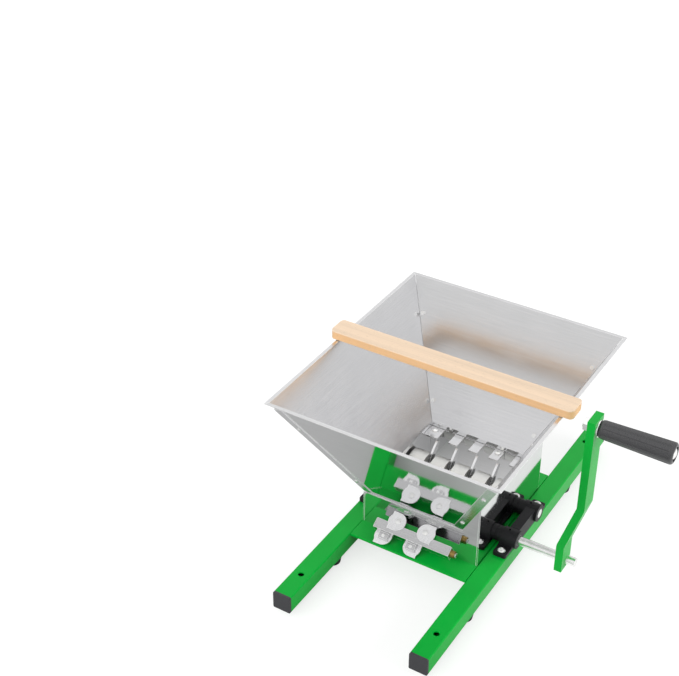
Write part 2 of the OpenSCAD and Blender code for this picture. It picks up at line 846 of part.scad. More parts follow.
module gear() {
    pitch_r = gear_module * gear_teeth / 2;
    base_r = pitch_r * cos(pressure);
    tip_r = pitch_r + gear_module * 0.94;
    root_r = pitch_r - gear_module * 1.2;
    pitch_a = flank_end(base_r, pitch_r);
    pitch_p = involute(base_r, pitch_a);
    half = 90 / gear_teeth * (1 - backlash_share) + atan2(pitch_p[1], pitch_p[0]);
    flank = [for (i = [0 : 5]) turned(involute(base_r, flank_end(base_r, tip_r) * i / 5), -half)];
    back = [for (i = [5 : -1 : 0]) [flank[i][0], -flank[i][1]]];
    root = turned([root_r, 0], -half - backlash_share * 10);
    tooth = concat([root], flank, back, [[root[0], -root[1]]]);
    outline = [for (i = [0 : gear_teeth - 1], p = tooth) turned(p, i * 360 / gear_teeth)];
    difference() {
        union() {
            translate([gear_x, 0, 0]) rotate([0, 90, 0]) linear_extrude(gear_w) polygon(outline);
            bar_x(gear_hub_r, gear_x - side_gap, gear_x + gear_w / 2);
        }
        bar_x(journal_r + fit / 2, gear_x - over - side_gap, gear_x + gear_w + over);
        key_slot(running);
    }
}

module key() translate([gear_x, -key_w / 2, journal_r - key_w / 2 + fit / 2])
    cube([gear_w, key_w, key_w - fit]);

// A retaining ring on the left end of an axle
module clip() difference() {
    bar_x(journal_r + clip_w, -block_x1 - rest_gap - clip_t, -block_x1 - rest_gap);
    bar_x(journal_r + running / 2, -block_x1 - rest_gap - clip_t - over, -block_x1);
}

module crank_axle() color(steel) at_front() axle(front_lean, 0, arm_x + arm_t + axle_out);
module rear_axle() color(steel) at_rear() axle(-knife_lean, 180 / gear_teeth, block_x1 + rest_gap);
module front_drum_spacers() color(steel) at_front() turned_front() drum_spacers(knife_step);
module rear_drum_spacers() color(steel) at_rear() turned_rear() drum_spacers(-knife_step);
module front_knives() color(steel) at_front() turned_front() knives(knife_step);
module rear_knives() color(steel) at_rear() turned_rear() knives(-knife_step);
module drive_gear() color(zinc) at_front() gear();
module driven_gear() color(zinc) at_rear() rotate([180 / gear_teeth, 0, 0]) gear();
module drive_key() color(zinc) at_front() key();
module driven_key() color(zinc) at_rear() rotate([180 / gear_teeth, 0, 0]) key();
module front_axle_clip() color(zinc) at_front() clip();
module rear_axle_clip() color(zinc) at_rear() clip();

// Crank

function arc(c, r, a0, a1) = [for (i = [0 : 6]) c + r * [cos(a0 + (a1 - a0) * i / 6), sin(a0 + (a1 - a0) * i / 6)]];

// A flat bar with two bends, seen from the front: x across, y up from the axle
module crank_arm() {
    low = [arm_x + arm_t + bend_r, bend_low];
    high = [arm_x1 - bend_r, bend_high];
    end = arm_w / 2;
    color(green) difference() {
        translate([0, -axle_y + arm_w / 2, axle_z]) rotate([90, 0, 0]) linear_extrude(arm_w)
            polygon(concat([[arm_x, -end]], arc(low, bend_r + arm_t, 180, 180 - arm_lean),
                arc(high, bend_r, -arm_lean, 0), [[arm_x1, crank_len + end],
                [arm_x1 + arm_t, crank_len + end]], arc(high, bend_r + arm_t, 0, -arm_lean),
                arc(low, bend_r, 180 - arm_lean, 180), [[arm_x + arm_t, -end]]));
        at_front() bar_x(journal_r + fit / 2, arm_x - over, arm_x + arm_t + over);
        translate([0, -axle_y, handle_z])
            bar_x(handle_bolt_r + fit, arm_x1 - over, arm_x1 + arm_t + over);
        translate([arm_x + arm_t / 2, -axle_y, axle_z]) rotate([-90, 0, 0])
            cylinder(r = set_screw_r + running, h = arm_w);
    }
}

module arm_set_screw() {
    color(zinc) translate([arm_x + arm_t / 2, -axle_y, axle_z]) rotate([-90, 0, 0])
        difference() {
            translate([0, 0, journal_r + fit]) cylinder(r = set_screw_r, h = arm_w / 2 - journal_r - side_gap);
            translate([0, 0, arm_w / 2 - side_gap * 2]) cylinder(r = set_screw_r / 2, h = arm_w, $fn = 6);
        }
}

// The bolt runs through the grip and the arm to its nut
module handle_bolt() {
    x1 = grip_x + grip_len - grip_recess + fit * 2;
    color(zinc) translate([0, -axle_y, handle_z]) {
        bar_x(handle_bolt_r, arm_x1 - handle_nut_h - side_gap, x1 + bolt_head_h / 2);
        translate([x1, 0, 0]) rotate([0, 90, 0])
            domed_screw(handle_bolt_r, bolt_head_r, bolt_head_h, over);
    }
}

module handle_nut() {
    color(zinc) translate([arm_x1 - handle_nut_h - fit, -axle_y, handle_z]) rotate([0, 90, 0])
        hex_nut(handle_nut_r, handle_nut_h, handle_bolt_r + running);
}

module handle_washer() {
    color(zinc) translate([0, -axle_y, handle_z]) difference() {
        bar_x(washer_r, arm_x1 + arm_t + fit, arm_x1 + arm_t + fit + washer_t);
        bar_x(handle_bolt_r + running, arm_x1, arm_x1 + 2 * arm_t);
    }
}

// A tapered grip with round ends, lengthwise flutes and a recess for the bolt's head
module handle_grip() {
    taper = atan((grip_r1 - grip_r0) / grip_len);
    c0 = [grip_r0 - grip_round, grip_round];
    c1 = [grip_r1 - grip_round, grip_len - grip_round];
    color(black) translate([grip_x, -axle_y, handle_z]) rotate([0, 90, 0]) difference() {
        rotate_extrude() {
            polygon(concat([[0, 0]], arc(c0, grip_round, -90, 0), arc(c1, grip_round, 0, 90),
                [[0, grip_len]]));
        }
        translate([0, 0, -over]) cylinder(r = handle_bolt_r + running, h = grip_len + 2 * over);
        translate([0, 0, grip_len - grip_recess]) cylinder(r = grip_recess_r, h = grip_recess + over);
        for (i = [0 : flutes - 1]) rotate([0, 0, (i + 0.5) * 360 / flutes])
            translate([grip_r0 + flute_r * 0.6, 0, 0]) rotate([0, taper, 0])
                translate([0, 0, grip_round * 1.5])
                    cylinder(r = flute_r, h = grip_len - 3 * grip_round);
    }
}

// Loose pieces

// A planed stick with rounded corners and edges, laid across the rim
module wooden_pusher() {
    color(beech) translate([pusher_x, pusher_y, rim_z + rest_gap + pusher_t / 2]) intersection() {
        translate([0, 0, -pusher_t]) linear_extrude(2 * pusher_t)
            round_rect(pusher_len, pusher_w, pusher_corner);
        translate([-pusher_len, 0, 0]) rotate([90, 0, 90]) linear_extrude(2 * pusher_len)
            round_rect(pusher_w, pusher_t, pusher_round / 2);
    }
}

// The loose rotor leans on the box with its lower blades on the front crossbar
module at_loose() translate([loose_x, loose_y, loose_z]) rotate([loose_lean, 0, 0]) children();

// The places of the four blades: y runs outwards from the bar and z away from its face
module blade_places() {
    for (i = [0, 1]) {
        translate([blade_upper_x + i * blade_step - loose_x, 0, loose_bar_w / 2]) children();
        translate([blade_lower_x + i * blade_step - loose_x, 0, -loose_bar_w / 2])
            rotate([180, 0, 0]) children();
    }
}

// A square bar with a stub at one end and a lug behind each blade
module loose_bar() {
    color(steel) at_loose() difference() {
        union() {
            square_x(loose_bar_w, -loose_len / 2, loose_len / 2);
            bar_x(stub_r, loose_len / 2 - over, loose_len / 2 + stub_len);
            blade_places() translate([-lug_w / 2, 0, -2 * blade_t])
                cube([lug_w, lug_out, 2 * blade_t]);
        }
        blade_places() translate([0, (lug_out + loose_bar_w / 2) / 2, -3 * blade_t])
            cylinder(r = blade_rivet_r + running, h = 4 * blade_t);
    }
}

// One blade: half a disc drawn out to a straight cutting edge, with a hole for its rivet
module blade(flip) {
    long = blade_reach + blade_root;
    round_r = long / 2;
    difference() {
        linear_extrude(blade_t) translate([0, (blade_reach - blade_root) / 2])
            mirror([flip, 0]) translate([-blade_w / 2, 0]) {
                translate([0, -round_r]) square([blade_w - round_r, long]);
                translate([blade_w - round_r, 0]) circle(round_r);
            }
        translate([0, (lug_out + loose_bar_w / 2) / 2, -over])
            cylinder(r = blade_rivet_r + running, h = blade_t + 2 * over);
    }
}

module loose_blades() {
    color(steel) at_loose() for (i = [0, 1]) {
        translate([blade_upper_x + i * blade_step - loose_x, 0, loose_bar_w / 2]) blade(i);
        translate([blade_lower_x + i * blade_step - loose_x, 0, -loose_bar_w / 2])
            rotate([180, 0, 0]) blade(i);
    }
}

module loose_blade_rivets() {
    color(zinc) at_loose() blade_places()
        translate([0, (lug_out + loose_bar_w / 2) / 2, blade_t])
            domed_screw(blade_rivet_r, blade_rivet_head, blade_t / 2, 3 * blade_t);
}

module loose_bush() {
    color(brass) at_loose() difference() {
        bar_x(bush_out_r, loose_len / 2 + running, loose_len / 2 + bush_len);
        bar_x(stub_r + running, loose_len / 2 - over, loose_len / 2 + bush_len + over);
    }
}

left_rail();
right_rail();
front_crossbar();
rear_crossbar();
rail_end_caps();
rubber_feet();
foot_screws();
box_front_plate();
box_rear_plate();
box_left_plate();
box_right_plate();
box_rivets();
box_bolts();
box_nuts();
gear_guard();
hopper_front_panel();
hopper_rear_panel();
hopper_left_panel();
hopper_right_panel();
seam_screws();
seam_nuts();
hopper_bolts();
hopper_nuts();
front_comb();
rear_comb();
comb_brackets();
comb_screws();
left_bearing_block();
right_bearing_block();
bearing_bushes();
bearing_bolts();
bearing_nuts();
crank_axle();
front_drum_spacers();
front_knives();
drive_gear();
drive_key();
front_axle_clip();
rear_axle();
rear_drum_spacers();
rear_knives();
driven_gear();
driven_key();
rear_axle_clip();
crank_arm();
arm_set_screw();
handle_bolt();
handle_nut();
handle_washer();
handle_grip();
wooden_pusher();
loose_bar();
loose_blades();
loose_blade_rivets();
loose_bush();
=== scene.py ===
"""Apple scratter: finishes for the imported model, its machine screws and its studio."""

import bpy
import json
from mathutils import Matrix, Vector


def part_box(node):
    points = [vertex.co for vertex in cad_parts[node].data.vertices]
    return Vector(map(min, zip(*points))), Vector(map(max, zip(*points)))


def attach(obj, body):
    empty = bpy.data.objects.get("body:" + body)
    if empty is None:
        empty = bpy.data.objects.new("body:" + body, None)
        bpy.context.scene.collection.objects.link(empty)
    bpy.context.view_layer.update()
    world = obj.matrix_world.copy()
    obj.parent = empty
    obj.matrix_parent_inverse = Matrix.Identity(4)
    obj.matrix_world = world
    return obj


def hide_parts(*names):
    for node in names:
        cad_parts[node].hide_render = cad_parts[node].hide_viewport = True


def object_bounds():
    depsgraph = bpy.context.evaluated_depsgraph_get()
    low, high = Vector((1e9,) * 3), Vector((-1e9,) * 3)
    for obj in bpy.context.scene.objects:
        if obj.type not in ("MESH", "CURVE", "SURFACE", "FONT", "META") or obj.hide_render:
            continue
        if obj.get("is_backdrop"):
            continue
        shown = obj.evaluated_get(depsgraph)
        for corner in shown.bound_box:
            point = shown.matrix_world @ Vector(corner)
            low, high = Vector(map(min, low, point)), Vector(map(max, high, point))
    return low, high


bl_info = {
    "name": "Apple scratter",
    "version": (1, 0, 0),
    "blender": (4, 5, 0),
    "location": "View3D > Sidebar > Scratter",
    "description": "Dresses a hand cranked apple scratter and lights it in a white studio",
    "category": "Object",
}

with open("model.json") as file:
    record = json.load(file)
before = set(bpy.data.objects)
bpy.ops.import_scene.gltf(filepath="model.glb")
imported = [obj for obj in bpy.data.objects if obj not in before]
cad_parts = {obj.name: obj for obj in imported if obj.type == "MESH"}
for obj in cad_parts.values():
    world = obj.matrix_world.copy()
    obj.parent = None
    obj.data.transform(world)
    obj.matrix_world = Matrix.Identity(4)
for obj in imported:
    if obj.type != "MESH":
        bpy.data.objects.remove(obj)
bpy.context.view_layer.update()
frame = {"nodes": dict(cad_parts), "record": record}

import json
import math

import bmesh
import bpy
from bpy.props import FloatProperty, FloatVectorProperty, PointerProperty
from mathutils import Matrix, Vector

MM = 0.001

# How the camera that fits the photo is turned, in degrees
HEADING, TILT, ROLL = 31.7936, 33.25, 0.144
# What the lamps aim at, in metres
MIDDLE = (0, 0, 0.1)
# The floor, in metres, and how far under the feet it lies
FLOOR_HALF_WIDTH = 8
FLOOR_GAP = 0.2 * MM
# How wide the painted shade in the grooves between the drum's spacers fades out at the spacers'
# rims, to either side
GROOVE_SHADE_FADE = 1 * MM
# Edges sharper than this stay sharp on the screws, in degrees
SHARP_ANGLE = 32
# The screws' domes: how high up the head they start, and how the head narrows to its seat
DOME_START, RIM_START, SEAT_WIDTH = 0.3, 0.08, 0.97
# The recesses, as shares of the head's radius
CROSS_WIDTH, CROSS_ARM, CROSS_ARM_AT_BOTTOM = 0.26, 0.4, 0.12
SOCKET_RADIUS = 0.42
SLOT_LENGTH, SLOT_WIDTH = 1.5, 0.3
# How far up the head's rise the middle of each recess stands
RECESS_HEIGHT, SLOT_HEIGHT = 0.95, 0.85


def linear(code):
    """Turns an sRGB hex colour to the linear values that shaders use."""
    parts = [int(code[i:i + 2], 16) / 255 for i in (1, 3, 5)]
    return [c / 12.92 if c <= 0.04045 else ((c + 0.055) / 1.055) ** 2.4 for c in parts]


def colour(title, code, about):
    """A colour that the panel shows, with its default as sRGB hex."""
    return FloatVectorProperty(name=title, description=about, subtype="COLOR", size=3,
                               min=0, max=1, default=linear(code))


def power(title, watts, about):
    """The power of a lamp."""
    return FloatProperty(name=title, description=about, default=watts, min=0, max=500,
                         unit="POWER")


# Shader nodes

def add_node(tree, kind, settings=None, inputs=None):
    """Adds a node, sets its attributes and its sockets, and links the sockets given as outputs."""
    node = tree.nodes.new(kind)
    for key, value in (settings or {}).items():
        setattr(node, key, value)
    for key, value in (inputs or {}).items():
        if isinstance(value, bpy.types.NodeSocket):
            tree.links.new(value, node.inputs[key])
        else:
            node.inputs[key].default_value = value
    return node


def new_material(name):
    """Returns an empty material's tree with its output node."""
    material = bpy.data.materials.new(name)
    material.use_nodes = True
    material.node_tree.nodes.clear()
    output = add_node(material.node_tree, "ShaderNodeOutputMaterial")
    return material, material.node_tree, output


def pattern_space(tree, stretch=(1, 1, 1), turn=(0, 0, 0)):
    """Object coordinates in metres, stretched and turned."""
    place = add_node(tree, "ShaderNodeTexCoord")
    return add_node(tree, "ShaderNodeMapping", None, {
        "Vector": place.outputs["Object"], "Scale": stretch, "Rotation": turn}).outputs[0]


def ramp(tree, factor, stops):
    """A colour ramp with the given stops, each a place and a linear colour or a grey."""
    node = add_node(tree, "ShaderNodeValToRGB", None, {"Fac": factor})
    points = node.color_ramp.elements
    while len(points) < len(stops):
        points.new(0.5)
    for point, (place, tone) in zip(points, stops):
        point.position = place
        point.color = (*tone, 1) if hasattr(tone, "__len__") else (tone, tone, tone, 1)
    return node.outputs["Color"]


def blend_colours(tree, factor, first, second):
    """Mixes two colours, each linear and with alpha or the output of a node."""
    return add_node(tree, "ShaderNodeMix", {"data_type": "RGBA"},
                    {0: factor, 6: first, 7: second}).outputs[2]


def blend_numbers(tree, factor, first, second):
    """Mixes two numbers, each given plainly or as the output of a node."""
    return add_node(tree, "ShaderNodeMix", {"data_type": "FLOAT"}, {
        "Factor": factor, "A": first, "B": second}).outputs[0]


def shade(tone, amount):
    """A lighter or darker tone of a colour."""
    return [min(1, c * amount) for c in tone]


def powder_coat(name, paint):
    """Gloss powder coat on steel: even colour, a wide soft gloss and a faint orange peel."""
    material, tree, output = new_material(name)
    space = pattern_space(tree)
    # Cured coats drift a little in tone over a hand's width
    drift = add_node(tree, "ShaderNodeTexNoise", None,
                     {"Vector": space, "Scale": 14, "Detail": 3, "Roughness": 0.5})
    # Orange peel is about a millimetre apart; drawn at three, so that it shows
    peel = add_node(tree, "ShaderNodeTexNoise", None,
                    {"Vector": space, "Scale": 330, "Detail": 2, "Roughness": 0.4})
    bump = add_node(tree, "ShaderNodeBump", None,
                    {"Height": peel.outputs["Fac"], "Strength": 0.09, "Distance": 0.3 * MM})
    shader = add_node(tree, "ShaderNodeBsdfPrincipled", None, {
        "Base Color": ramp(tree, drift.outputs["Fac"], [(0.3, shade(paint, 0.92)),
                                                        (0.7, shade(paint, 1.07))]),
        "Roughness": ramp(tree, peel.outputs["Fac"], [(0.3, 0.30), (0.7, 0.38)]),
        "Normal": bump.outputs[0]})
    shader.inputs["IOR"].default_value = 1.5
    shader.inputs["Specular IOR Level"].default_value = 0.2
    tree.links.new(shader.outputs[0], output.inputs["Surface"])
    return material


def edge_highlight_mask(tree, width):
    """How near a point is to a sharp edge, from 0 on the faces to 1 on the edge: the mask of the
    painted edge highlight.
    """
    rounded = add_node(tree, "ShaderNodeBevel", {"samples": 8}, {"Radius": width})
    flat = add_node(tree, "ShaderNodeNewGeometry")
    same = add_node(tree, "ShaderNodeVectorMath", {"operation": "DOT_PRODUCT"}, {
        0: rounded.outputs[0], 1: flat.outputs["Normal"]})
    return add_node(tree, "ShaderNodeMapRange", None, {
        "Value": same.outputs["Value"], "From Min": 0.995, "From Max": 0.93}).outputs[0]


def groove_shade_mask(tree, spacers):
    """Painted shade: 1 on the roots of the knives, in the grooves between the drum's spacers, and
    0 outside.
    """
    low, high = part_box(spacers)
    radius = (high[1] - low[1]) / 2
    place = add_node(tree, "ShaderNodeTexCoord")
    # The two drums stand as far behind the middle as in front of it
    mirrored = add_node(tree, "ShaderNodeVectorMath", {"operation": "ABSOLUTE"}, {
        0: place.outputs["Object"]})
    apart = add_node(tree, "ShaderNodeVectorMath", {"operation": "SUBTRACT"}, {
        0: mirrored.outputs[0], 1: (0, (low[1] + high[1]) / 2, (low[2] + high[2]) / 2)})
    across = add_node(tree, "ShaderNodeVectorMath", {"operation": "MULTIPLY"}, {
        0: apart.outputs[0], 1: (0, 1, 1)})
    reach = add_node(tree, "ShaderNodeVectorMath", {"operation": "LENGTH"}, {
        0: across.outputs[0]})
    return add_node(tree, "ShaderNodeMapRange", None, {
        "Value": reach.outputs["Value"], "From Min": radius + GROOVE_SHADE_FADE,
        "From Max": radius - GROOVE_SHADE_FADE}).outputs[0]


def stainless(name, metal, stretch, rough, spacers=None):
    """Polished stainless sheet: a soft mirror with hairlines along the rolling.

    Where a node of drum spacers is named, the metal between them is darkened nearly to black with
    painted shade.
    """
    material, tree, output = new_material(name)
    # Hairlines are under half a millimetre apart; drawn at two, so that they show
    lines = add_node(tree, "ShaderNodeTexNoise", None,
                     {"Vector": pattern_space(tree, stretch), "Scale": 1, "Detail": 3,
                      "Roughness": 0.6})
    # Polishing leaves broad soft clouds
    clouds = add_node(tree, "ShaderNodeTexNoise", None,
                      {"Vector": pattern_space(tree), "Scale": 22, "Detail": 2,
                       "Roughness": 0.5})
    both = blend_numbers(tree, 0.4, lines.outputs["Fac"], clouds.outputs["Fac"])
    bump = add_node(tree, "ShaderNodeBump", None,
                    {"Height": lines.outputs["Fac"], "Strength": 0.03, "Distance": 0.1 * MM})
    # Painted highlight: near the sharp edges the sheet is painted a bright white, less metallic
    # and rougher, standing in for light caught on the folds and cut edges
    edge = edge_highlight_mask(tree, 0.7 * MM)
    sheet = ramp(tree, both, [(0.3, shade(metal, 0.95)), (0.7, shade(metal, 1.04))])
    # Painted shade: the knives' roots in the grooves between the spacers are darkened nearly to
    # black
    if spacers:
        sheet = blend_colours(tree, groove_shade_mask(tree, spacers), sheet,
                              (*shade(metal, 0.15), 1))
    polish = ramp(tree, both, [(0.3, rough * 0.75), (0.7, rough * 1.25)])
    shader = add_node(tree, "ShaderNodeBsdfPrincipled", None, {
        "Base Color": blend_colours(tree, edge, sheet, (0.93, 0.93, 0.93, 1)),
        "Metallic": add_node(tree, "ShaderNodeMapRange", None, {
            "Value": edge, "To Min": 1, "To Max": 0.35}).outputs[0],
        "Roughness": blend_numbers(tree, edge, polish, 0.5),
        "Normal": bump.outputs[0]})
    tree.links.new(shader.outputs[0], output.inputs["Surface"])
    return material


def turned_metal(name, metal, pitch, rough):
    """Turned or plated metal: bright, with fine rings left by the tool along the X axis."""
    material, tree, output = new_material(name)
    space = pattern_space(tree)
    # At a scale of one, the bands of a wave texture are pi / 10 apart
    rings = add_node(tree, "ShaderNodeTexWave", {"bands_direction": "X"}, {
        "Vector": space, "Scale": math.pi / (10 * pitch), "Distortion": 0.4,
        "Detail": 1})
    grime = add_node(tree, "ShaderNodeTexNoise", None,
                     {"Vector": space, "Scale": 120, "Detail": 3, "Roughness": 0.55})
    bump = add_node(tree, "ShaderNodeBump", None,
                    {"Height": rings.outputs["Fac"], "Strength": 0.08, "Distance": 0.1 * MM})
    shader = add_node(tree, "ShaderNodeBsdfPrincipled", None, {
        "Base Color": ramp(tree, grime.outputs["Fac"], [(0.3, shade(metal, 0.9)),
                                                        (0.7, shade(metal, 1.06))]),
        "Roughness": ramp(tree, grime.outputs["Fac"], [(0.3, rough * 0.8), (0.7, rough * 1.3)]),
        "Normal": bump.outputs[0]})
    shader.inputs["Metallic"].default_value = 1
    tree.links.new(shader.outputs[0], output.inputs["Surface"])
    return material


def moulded(name, tone, rough, grain, sheen=0.5):
    """Moulded plastic or rubber: dark, with a fine spark-eroded grain that breaks the gloss."""
    material, tree, output = new_material(name)
    space = pattern_space(tree)
    texture = add_node(tree, "ShaderNodeTexNoise", None,
                       {"Vector": space, "Scale": 1 / grain, "Detail": 2, "Roughness": 0.6})
    bump = add_node(tree, "ShaderNodeBump", None,
                    {"Height": texture.outputs["Fac"], "Strength": 0.18, "Distance": 0.15 * MM})
    shader = add_node(tree, "ShaderNodeBsdfPrincipled", None, {
        "Base Color": ramp(tree, texture.outputs["Fac"], [(0.3, shade(tone, 0.8)),
                                                          (0.7, shade(tone, 1.25))]),
        "Roughness": ramp(tree, texture.outputs["Fac"], [(0.3, rough - 0.06),
                                                         (0.7, rough + 0.08)]),
        "Normal": bump.outputs[0]})
    shader.inputs["IOR"].default_value = 1.5
    shader.inputs["Specular IOR Level"].default_value = sheen
    tree.links.new(shader.outputs[0], output.inputs["Surface"])
    return material


def beech(name, wood, edge, low, top):
    """Planed beech, bare: growth bands along the stick, brown flecks, pale broad faces."""
    material, tree, output = new_material(name)
    place = add_node(tree, "ShaderNodeTexCoord")
    height = add_node(tree, "ShaderNodeSeparateXYZ", None, {0: place.outputs["Object"]})
    # The broad faces are tinted paler, and the narrow faces keep the wood's warmer colour
    above = add_node(tree, "ShaderNodeMath", {"operation": "SUBTRACT"}, {
        0: height.outputs["Z"], 1: (low + top) / 2})
    off_middle = add_node(tree, "ShaderNodeMath", {"operation": "ABSOLUTE"}, {
        0: above.outputs[0]})
    half = (top - low) / 2
    face = add_node(tree, "ShaderNodeMapRange", None, {
        "Value": off_middle.outputs[0], "From Min": half - 1.6 * MM,
        "From Max": half - 0.4 * MM})
    # Growth bands are a few millimetres wide and run nearly the whole length
    bands = add_node(tree, "ShaderNodeTexNoise", None,
                     {"Vector": pattern_space(tree, (3, 150, 150), (0, 0, 0.012)), "Scale": 1,
                      "Detail": 4, "Roughness": 0.55, "Distortion": 0.4})
    # Flecks are about three millimetres long and under half a millimetre wide
    flecks = add_node(tree, "ShaderNodeTexNoise", None,
                      {"Vector": pattern_space(tree, (190, 1300, 1300)), "Scale": 1,
                       "Detail": 1, "Roughness": 0.5})
    broad, narrow = (ramp(tree, bands.outputs["Fac"], [
        (0.32, shade(tint, 0.9)), (0.5, tint), (0.68, shade(tint, 1.05))])
        for tint in (wood, edge))
    tone = blend_colours(tree, face.outputs[0], narrow, broad)
    spots = ramp(tree, flecks.outputs["Fac"], [(0.66, 0.0), (0.74, 0.45)])
    bump = add_node(tree, "ShaderNodeBump", None,
                    {"Height": bands.outputs["Fac"], "Strength": 0.12, "Distance": 0.2 * MM})
    shader = add_node(tree, "ShaderNodeBsdfPrincipled", None, {
        "Base Color": blend_colours(tree, spots, tone, (*shade(wood, 0.55), 1)),
        "Roughness": ramp(tree, bands.outputs["Fac"], [(0.3, 0.48), (0.7, 0.62)]),
        "Normal": bump.outputs[0]})
    shader.inputs["IOR"].default_value = 1.45
    tree.links.new(shader.outputs[0], output.inputs["Surface"])
    return material


def dress(names, material):
    """Gives the frame's nodes a finish, in every slot that they have."""
    for name in names:
        piece = frame["nodes"][name]
        if not piece.material_slots:
            piece.data.materials.append(material)
        for slot in piece.material_slots:
            slot.material = material


# Machine screws

def screw_places(name):
    """Measures each screw of a node: its seat under the head, its axis, radii and lengths."""
    bm = bmesh.new()
    bm.from_mesh(frame["nodes"][name].data)
    bmesh.ops.remove_doubles(bm, verts=bm.verts, dist=0.01 * MM)
    left = set(bm.faces)
    places = []
    while left:
        stack = [left.pop()]
        island = set(stack)
        while stack:
            for edge in stack.pop().edges:
                for face in edge.link_faces:
                    if face not in island:
                        island.add(face)
                        stack.append(face)
        left -= island
        # The flat underside of the head and the flat tip face the same way, and are the most
        flats = {}
        for face in island:
            flats.setdefault(tuple(round(c, 2) for c in face.normal), []).append(face)
        flat = max(flats.values(), key=lambda faces: sum(f.calc_area() for f in faces))
        area = sum(f.calc_area() for f in flat)
        axis = -sum((f.normal * f.calc_area() for f in flat), Vector()).normalized()
        centre = sum((f.calc_center_median() * f.calc_area() for f in flat), Vector()) / area
        along = [axis.dot(f.calc_center_median()) for f in flat]
        seat, tip = max(along), min(along)
        tip_area = sum(f.calc_area() for f, a in zip(flat, along) if a < tip + 0.1 * MM)
        top = max(axis.dot(v.co) for face in island for v in face.verts)
        places.append({
            "seat": centre + axis * (seat - axis.dot(centre)), "axis": axis,
            "head": math.sqrt(area / math.pi), "shank": math.sqrt(tip_area / math.pi),
            "rise": top - seat, "length": seat - tip})
    bm.free()
    return sorted(places, key=lambda place: tuple(round(c, 4) for c in place["seat"]))


def turned_profile(points, steps=40):
    """Spins a profile of radius and height round Z and closes it."""
    bm = bmesh.new()
    verts = [bm.verts.new((r, 0, z)) for r, z in points]
    edges = [bm.edges.new(pair) for pair in zip(verts, verts[1:])]
    bmesh.ops.spin(bm, geom=verts + edges, cent=(0, 0, 0), axis=(0, 0, 1), angle=2 * math.pi,
                   steps=steps, use_merge=True)
    bmesh.ops.remove_doubles(bm, verts=bm.verts, dist=0.001 * MM)
    bmesh.ops.recalc_face_normals(bm, faces=bm.faces)
    return bm


def as_mesh(bm, name):
    """Turns a finished bmesh to a mesh, and frees it."""
    mesh = bpy.data.meshes.new(name)
    bm.to_mesh(mesh)
    bm.free()
    return mesh


def cut_away(solid, cutter):
    """Takes the cutter's volume out of the solid, and returns the mesh that is left."""
    pair = [bpy.data.objects.new(name, mesh)
            for name, mesh in (("solid", as_mesh(solid, "solid")),
                               ("cutter", as_mesh(cutter, "cutter")))]
    for part in pair:
        bpy.context.scene.collection.objects.link(part)
    cut = pair[0].modifiers.new("cut", "BOOLEAN")
    cut.operation = "DIFFERENCE"
    cut.solver = "EXACT"
    cut.object = pair[1]
    bpy.context.view_layer.update()
    ready = pair[0].evaluated_get(bpy.context.evaluated_depsgraph_get())
    mesh = bpy.data.meshes.new_from_object(ready)
    for part in pair:
        bpy.data.objects.remove(part)
    if not mesh.polygons:
        raise RuntimeError("The cut left nothing of the solid")
    return mesh


def cross_recess(head, rise):
    """The tapered cross that a screwdriver fits."""
    bm = bmesh.new()
    bmesh.ops.create_cube(bm, size=1)
    bmesh.ops.scale(bm, verts=bm.verts, vec=(head * CROSS_WIDTH, head * CROSS_WIDTH, rise))
    bm.normal_update()
    sides = [face for face in bm.faces if abs(face.normal.z) < 0.5]
    for arm in bmesh.ops.extrude_discrete_faces(bm, faces=sides)["faces"]:
        outward = arm.normal.copy()
        for vert in arm.verts:
            reach = CROSS_ARM if vert.co.z > 0 else CROSS_ARM_AT_BOTTOM
            vert.co += outward * head * reach
    bmesh.ops.translate(bm, verts=bm.verts, vec=(0, 0, rise * RECESS_HEIGHT))
    bmesh.ops.recalc_face_normals(bm, faces=bm.faces)
    return bm


def hex_socket(head, rise):
    """The six-sided socket that a key fits."""
    bm = bmesh.new()
    radius = head * SOCKET_RADIUS
    bmesh.ops.create_cone(bm, cap_ends=True, segments=6, radius1=radius, radius2=radius,
                          depth=rise)
    bmesh.ops.translate(bm, verts=bm.verts, vec=(0, 0, rise * RECESS_HEIGHT))
    return bm


def straight_slot(head, rise):
    """The slot that a plain screwdriver fits."""
    bm = bmesh.new()
    bmesh.ops.create_cube(bm, size=1)
    bmesh.ops.scale(bm, verts=bm.verts, vec=(head * SLOT_LENGTH, head * SLOT_WIDTH, rise))
    bmesh.ops.translate(bm, verts=bm.verts, vec=(0, 0, rise * SLOT_HEIGHT))
    return bm


def machine_screws(name, title, recess, material):
    """Replaces a node of plain domed screws by screws with a rounded rim and a recess."""
    bm = bmesh.new()
    for place in screw_places(name):
        head, rise, shank = place["head"], place["rise"], place["shank"]
        tip = -place["length"]
        dome = [(head * math.sin(a), rise * (DOME_START + (1 - DOME_START) * math.cos(a)))
                for a in (math.radians(10 * i) for i in range(10))]
        solid = turned_profile(dome + [(head, rise * RIM_START), (head * SEAT_WIDTH, 0),
                                       (shank, 0), (shank, tip), (0, tip)])
        mesh = cut_away(solid, recess(head, rise))
        # Driven home, each screw stops at a turn of its own, which its place settles here
        degrees = 17 * round(place["seat"].length * 977) % 90
        stand = place["axis"].to_track_quat("Z", "Y").to_matrix().to_4x4()
        mesh.transform(Matrix.Translation(place["seat"]) @ stand
                       @ Matrix.Rotation(math.radians(degrees), 4, "Z"))
        bm.from_mesh(mesh)
        bpy.data.meshes.remove(mesh)
    mesh = as_mesh(bm, title)
    mesh.shade_smooth()
    mesh.set_sharp_from_angle(angle=math.radians(SHARP_ANGLE))
    mesh.materials.clear()
    mesh.materials.append(material)
    piece = bpy.data.objects.new(title, mesh)
    bpy.context.scene.collection.objects.link(piece)
    bodies = frame["record"]["behaviour"]["bodies"]
    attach(piece, next(body for body, nodes in bodies.items() if name in nodes))
    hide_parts(name)


